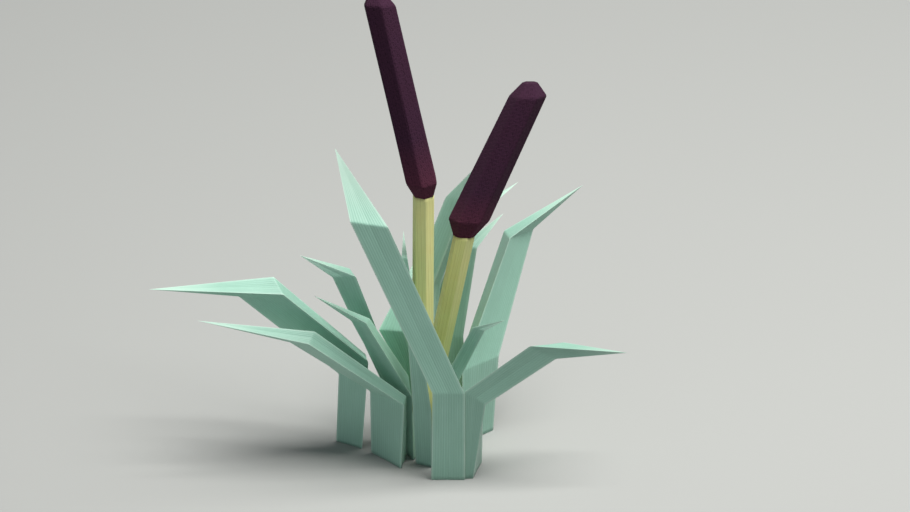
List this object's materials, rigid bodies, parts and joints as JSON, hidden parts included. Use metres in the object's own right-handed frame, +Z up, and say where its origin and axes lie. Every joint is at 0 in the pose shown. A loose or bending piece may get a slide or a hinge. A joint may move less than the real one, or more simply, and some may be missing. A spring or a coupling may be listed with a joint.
{
  "type": "cattail clump",
  "caption": "Standing clump of cattail: stout stalks carry dark seed spikes above stiff, folded green leaves, all cut off flat at the ground.",
  "frame": {"origin": "on the ground, under the middle of the clump's bounding box", "axes": "+Z up along the stalks, -Y towards the front that the picture shows, +X to its right"},
  "size_m": [0.383, 0.162, 0.397],
  "materials": {
    "leaf": "waxy, satin",
    "stem": "dry, fibrous",
    "seed_spike": "matt, felted"
  },
  "bodies": {
    "root": {"stem_left": "stem", "stem_right": "stem", "spike_left": "seed_spike", "spike_right": "seed_spike", "leaf_front_tall": "leaf", "leaf_right_low": "leaf", "leaf_right_tall": "leaf", "leaf_right_inner": "leaf", "leaf_left_long": "leaf", "leaf_left_low": "leaf", "leaf_left_inner_high": "leaf", "leaf_left_inner_low": "leaf", "leaf_middle_narrow": "leaf", "leaf_middle_left": "leaf", "leaf_back_tall": "leaf", "leaf_back_right": "leaf", "leaf_back_far": "leaf"}
  },
  "joints": []
}
